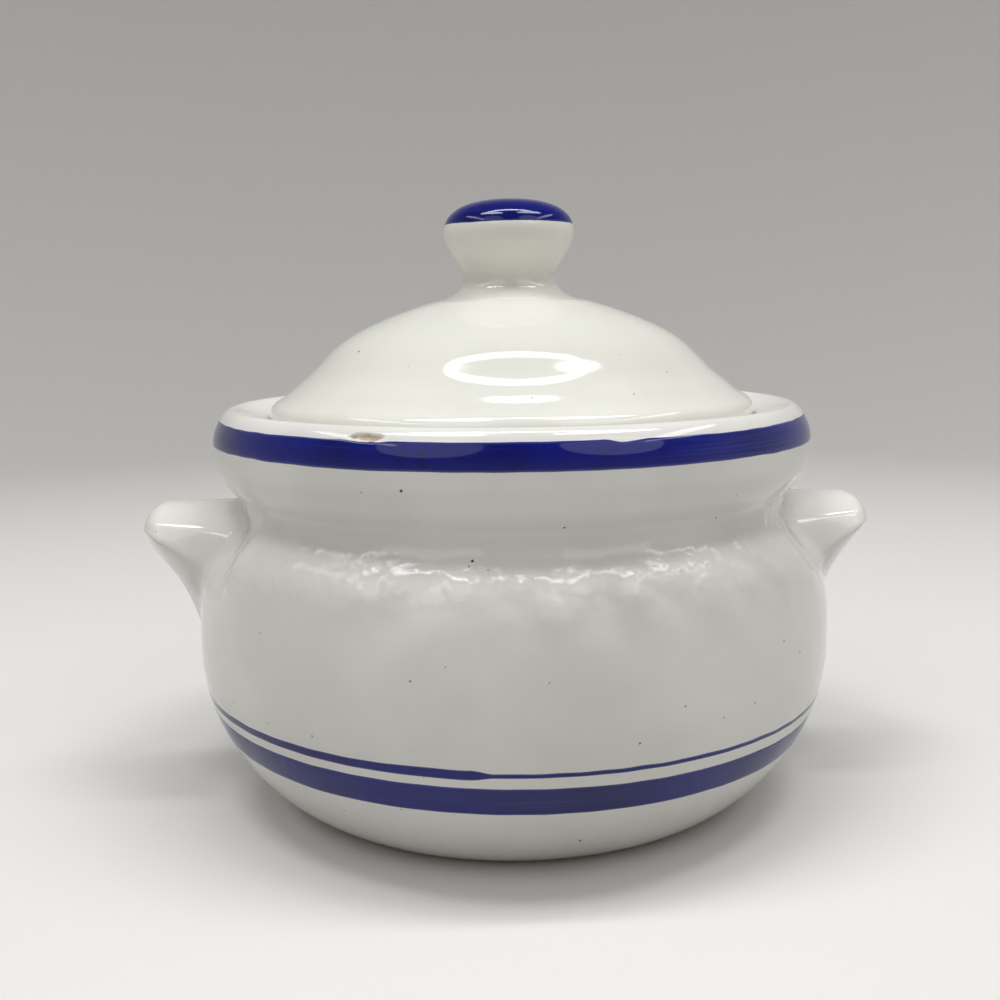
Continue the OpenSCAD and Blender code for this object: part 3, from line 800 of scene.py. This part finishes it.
# half profile of the lid as CAD has it: ceiling, ring, seat, bead, flare, dome, cove, seat of the knob
def lidProfile(d):
    beadTop = np.array([d["edgeR"] - d["beadRound"], d["seatZ"] + d["beadH"]])
    beadFoot = np.array([beadTop[0], d["seatZ"]])
    beadSide = np.array([d["edgeR"], d["seatZ"] + d["beadH"] / 2])
    foot, cove = beadTop + [-d["flareW"], d["flareH"]], np.array([d["coveR"], d["coveZ"]])
    neck, run = np.array([d["neckR"], d["neckZ"]]), beadTop[0] - d["flareW"] - d["coveR"]
    dome = curve(foot, along(foot, 180 - d["footSlope"], d["footPull"] * run),
                 along(cove, -d["topSlope"], d["topPull"] * run), cove)
    hollow = (dome - d["wall"] * normalsOf(dome))[::-1]
    ring = [[d["ringIn"], min(beadTop[1], hollow[-1, 1])], [d["ringIn"], d["ringZ"]],
            [d["ringR"], d["ringZ"]], [d["ringR"], d["seatZ"]]]
    inner = [[[0, hollow[0, 1]]], hollow, ring]
    outer = [curve(beadFoot, beadFoot + [d["beadRound"] / 2, 0], beadSide - [0, d["beadH"] / 4], beadSide),
             curve(beadSide, beadSide + [0, d["beadH"] / 4],
                   beadTop + [d["beadRound"] / 2, -d["beadRound"] / 4], beadTop),
             curve(beadTop, beadTop + [-d["flareW"] / 3, d["beadRound"] / 3],
                   along(foot, -d["footSlope"], d["flareW"] / 3), foot),
             dome, curve(cove, cove, neck - [0, d["coveFull"] * (d["neckZ"] - d["coveZ"])], neck)]
    return softLine(inner + outer, d["soft"])


# half profile of the knob as CAD has it, from the lid's neck up to the middle of its crown
def knobProfile(k, d):
    neck, side = np.array([d["neckR"], d["neckZ"]]), np.array([k["R"], k["midZ"]])
    top = np.array([0.0, k["topZ"]])
    rise, high = k["midZ"] - d["neckZ"], k["topZ"] - k["midZ"]
    flank = curve(neck, neck + [0, k["neckFull"] * rise], side - [0, k["full"] * rise], side)
    crown = curve(side, side + [0, k["crownFull"] * high], top + [k["crownFlat"] * k["R"], 0], top)
    return softLine([flank, crown], k["soft"])


lidLine, knobLine = lidProfile(lid), knobProfile(knob, lid)
lidNormal, knobNormal = normalsOf(lidLine), normalsOf(knobLine)


# point of the lid or its knob: a profile carried round, slightly oval and rippled away from the middle,
# the whole leaning a little on its ledge
def lidPoint(line, normal, place, angle, proud=0.0):
    r, z = at(line[:, 0], place), at(line[:, 1], place)
    swell = lid["oval"] * np.cos(2 * angle + lid["ovalTurn"]) + lid["ripple"] * lidRipple(angle, z)
    swell = swell * ease(lid["stillR"], lid["looseR"], r)
    r, z = r + swell + proud * at(normal[:, 0], place), z + proud * at(normal[:, 1], place)
    lean = math.tan(math.radians(lid["lean"]))
    x, y, z = np.broadcast_arrays(r * np.cos(angle), r * np.sin(angle), z)
    return np.stack([x - lean * (z - lid["seatZ"]), y, z + lean * x], -1)


# two points of the axis, leaning as the lid does, given as radius and height
def lidPoles(first, last):
    return lidPoint(np.array([first, last]), np.zeros((2, 2)), np.arange(2.0), 0.0)


# whole lid: its profile carried round; the ring and the seat below the bead are bare clay
def makeLid():
    outerStart = int(np.argmax(lidLine[:, 0]))
    places = np.arange(len(lidLine))
    widest = np.where(places > outerStart - lid["underEdge"] / lineStep, lid["outStep"], lid["inStep"])
    rows = spacedPlaces(lidLine, lid["leastStep"], widest, lid["bendStep"])[1:]
    angles = onceRound(lid["columns"])
    z, r = at(lidLine[:, 1], rows), at(lidLine[:, 0], rows)
    seat = (rows < outerStart) * (r > lid["ringIn"] + lid["bareInner"])
    seat = seat * ease(lid["seatZ"] + lid["bareHigh"], lid["seatZ"] + lid["bareLow"], z)
    grid = lidPoint(lidLine, lidNormal, rows[:, None], angles)
    poles = lidPoles(lidLine[0], [0, lid["neckZ"]])
    piece = gridPiece("lidDome", grid, poles, {"bare": seat[:, None]}, [-1])
    settle(piece, "lid", "lid", lidGlaze)


# knob: its profile carried round, standing on the lid's neck with a level underside
def makeKnob():
    rows = spacedPlaces(knobLine, knob["leastStep"], knob["step"], knob["bendStep"])[:-1]
    angles = onceRound(knob["columns"])
    grid = lidPoint(knobLine, knobNormal, rows[:, None], angles)
    poles = lidPoles([0, lid["neckZ"]], knobLine[-1])
    piece = gridPiece("lidKnob", grid, poles, None, [0])
    settle(piece, "lid", "knob", lidGlaze)


# cap of paint over the knob's crown, from a wavy edge up to the pole, with its back in the clay
def makeKnobCap():
    angles = onceRound(2 * knob["columns"])
    side = np.argmax(knobLine[:, 0])
    edge = knob["capEdge"] + waver(angles, 7, knob["slow"], knob["quick"])
    edgePlace = np.interp(edge, knobLine[side:, 1], np.arange(side, len(knobLine)))
    v = (np.linspace(0, 1, knob["capRows"]) ** knob["capCrowd"])[:-1, None]
    inward = v * (len(knobLine) - 1 - edgePlace)
    fromEdge, place = inward * lineStep, edgePlace + inward
    front = lidPoint(knobLine, knobNormal, place, angles, paintLift(fromEdge))
    back = lidPoint(knobLine, knobNormal, place[::-1], angles, -paint["backDepth"])
    poles = lidPoles(knobLine[-1] - [0, paint["backDepth"]], knobLine[-1] + [0, paint["proud"]])
    fringe = 1 - ease(0, paint["fringe"], fromEdge)
    piece = gridPiece("knobCap", np.concatenate([back, front]), poles,
                      {"fringe": np.concatenate([np.ones_like(fringe), fringe])})
    settle(piece, "lid", "knob_cap", cobaltGlaze)


print("lid")
makeLid()
makeKnob()
makeKnobCap()

# the studio's paper in millimetres, its lamps in metres, watts and degrees
studio = {"floorR": 1500.0, "bend": 700.0, "wallH": 1500.0, "columns": 96, "rings": 24,
          "color": (0.78, 0.77, 0.75, 1), "bounceColor": (0.52, 0.51, 0.495, 1),
          "grainScale": 700.0, "grainTone": 0.97, "rough": 0.85, "specular": 0.2,
          "worldColor": (0.95, 0.97, 1.0, 1), "worldStrength": 0.15}
lamps = {
    "topLamp": {"watts": 4.1, "size": (0.88, 0.09), "place": (0.0, 0.0, 1.15), "tip": 0, "turn": 0},
    "leftLamp": {"watts": 3.0, "size": (0.52, 0.20), "place": (-0.36, -0.14, 1.09), "tip": 12, "turn": -31},
    "rightLamp": {"watts": 3.0, "size": (0.58, 0.20), "place": (0.40, -0.12, 1.09), "tip": 12, "turn": 31},
    "leftStrip": {"watts": 1.2, "size": (0.9, 0.12), "place": (-0.80, -0.16, 0.92), "tip": 43, "turn": -90},
    "rightStrip": {"watts": 1.2, "size": (0.9, 0.12), "place": (0.80, -0.16, 0.92), "tip": 43, "turn": 90},
    "leftFill": {"watts": 1.8, "size": (0.8, 0.8), "place": (-0.62, -0.78, 0.95), "tip": 49, "turn": -38.5},
    "rightFill": {"watts": 2.1, "size": (0.8, 0.8), "place": (0.62, -0.78, 0.95), "tip": 49, "turn": 38.5},
}


# studio paper: pale where it is seen or mirrored, but it throws less light back on the pot
def makePaper(s):
    material, tree, shader = startMaterial("studioPaper")
    grain = noise(tree, objectPlace(tree), s["grainScale"], detail=3.0)
    tone = [c * s["grainTone"] for c in s["color"][:3]] + [1]
    path = addNode(tree, "ShaderNodeLightPath").outputs
    seen = calc(tree, "MAXIMUM", path["Is Camera Ray"], path["Is Glossy Ray"])
    seen = calc(tree, "MAXIMUM", seen, path["Is Transmission Ray"])
    paper = mixColors(tree, seen, s["bounceColor"], mixColors(tree, grain, s["color"], tone))
    tree.links.new(paper, shader.inputs["Base Color"])
    shader.inputs["Roughness"].default_value = s["rough"]
    shader.inputs["Specular IOR Level"].default_value = s["specular"]
    return material


# round studio cove: a level floor that turns up into a wall, carried once round
def makeCove(s):
    floor = np.linspace(0, s["floorR"] - s["bend"], s["rings"])[1:]
    turn = np.linspace(0, math.pi / 2, s["rings"])[1:]
    r = np.r_[floor, s["floorR"] - s["bend"] + s["bend"] * np.sin(turn), s["floorR"]]
    z = np.r_[np.zeros(len(floor)), s["bend"] * (1 - np.cos(turn)), s["wallH"]]
    angles = onceRound(s["columns"])
    x, y = r[:, None] * np.cos(angles), r[:, None] * np.sin(angles)
    grid = np.stack(np.broadcast_arrays(x, y, z[:, None]), -1)
    points = np.vstack([grid.reshape(-1, 3), [[0, 0, 0]]])
    index = np.arange(len(r) * s["columns"]).reshape(len(r), -1)
    beside = np.roll(index, -1, axis=1)
    quads = np.stack([index[:-1], index[1:], beside[1:], beside[:-1]], -1).reshape(-1, 4)
    fan = np.stack([np.full(s["columns"], len(points) - 1), index[0], beside[0]], -1)
    mesh = bpy.data.meshes.new("studioCove")
    mesh.from_pydata((points * mm).tolist(), [], quads.tolist() + fan.tolist(), shade_flat=False)
    mesh.materials.append(makePaper(s))
    cove = addObject("studioCove", mesh)


# faint even light from all sides
def makeSky(s):
    world = bpy.data.worlds.new("studioWorld")
    world.use_nodes = True
    sky = world.node_tree.nodes["Background"]
    sky.inputs["Color"].default_value = s["worldColor"]
    sky.inputs["Strength"].default_value = s["worldStrength"]
    bpy.context.scene.world = world


# a soft oval lamp that looks straight down, then is tipped and turned
def makeLamp(name, look):
    lamp = bpy.data.lights.new(name, "AREA")
    lamp.shape, lamp.energy = "ELLIPSE", look["watts"]
    lamp.size, lamp.size_y = look["size"]
    holder = addObject(name, lamp)
    holder.location = look["place"]
    holder.rotation_euler = (math.radians(look["tip"]), 0, math.radians(look["turn"]))


print("studio")
makeCove(studio)
makeSky(studio)
for lampName, lampLook in lamps.items():
    makeLamp(lampName, lampLook)

# the photograph's view: distances in millimetres, angles in degrees, the frame is 1000 pixels wide
view = {"away": 323.5, "height": 133.0, "turn": 4.0, "pitch": 9.355, "roll": -0.66, "focal": 1130.0,
        "axisPixel": 512.57, "frame": 1000.0, "sensor": 36.0, "nearest": 0.01}


# stands back along its heading, looks down by the pitch and is rolled about its line of sight
def makeCamera():
    turn, pitch, roll = (math.radians(view[k]) for k in ("turn", "pitch", "roll"))
    heading = np.array([math.sin(turn), math.cos(turn), 0])
    forward = math.cos(pitch) * heading - np.array([0, 0, math.sin(pitch)])
    right = np.array([heading[1], -heading[0], 0])
    up = np.cross(right, forward)
    across = math.cos(roll) * right + math.sin(roll) * up
    upright = math.cos(roll) * up - math.sin(roll) * right
    place = (-view["away"] * heading + np.array([0, 0, view["height"]])) * mm
    camera = bpy.data.cameras.new("photoCamera")
    camera.sensor_width = view["sensor"]
    camera.lens = view["focal"] / view["frame"] * view["sensor"]
    camera.shift_x = (view["frame"] / 2 - view["axisPixel"]) / view["frame"]
    camera.clip_start = view["nearest"]
    holder = addObject("photoCamera", camera)
    turned = np.column_stack([across, upright, -forward, place])
    holder.matrix_world = Matrix([*turned.tolist(), [0, 0, 0, 1]])
    bpy.context.scene.camera = holder


makeCamera()
bpy.context.scene.view_settings.view_transform = "Standard"
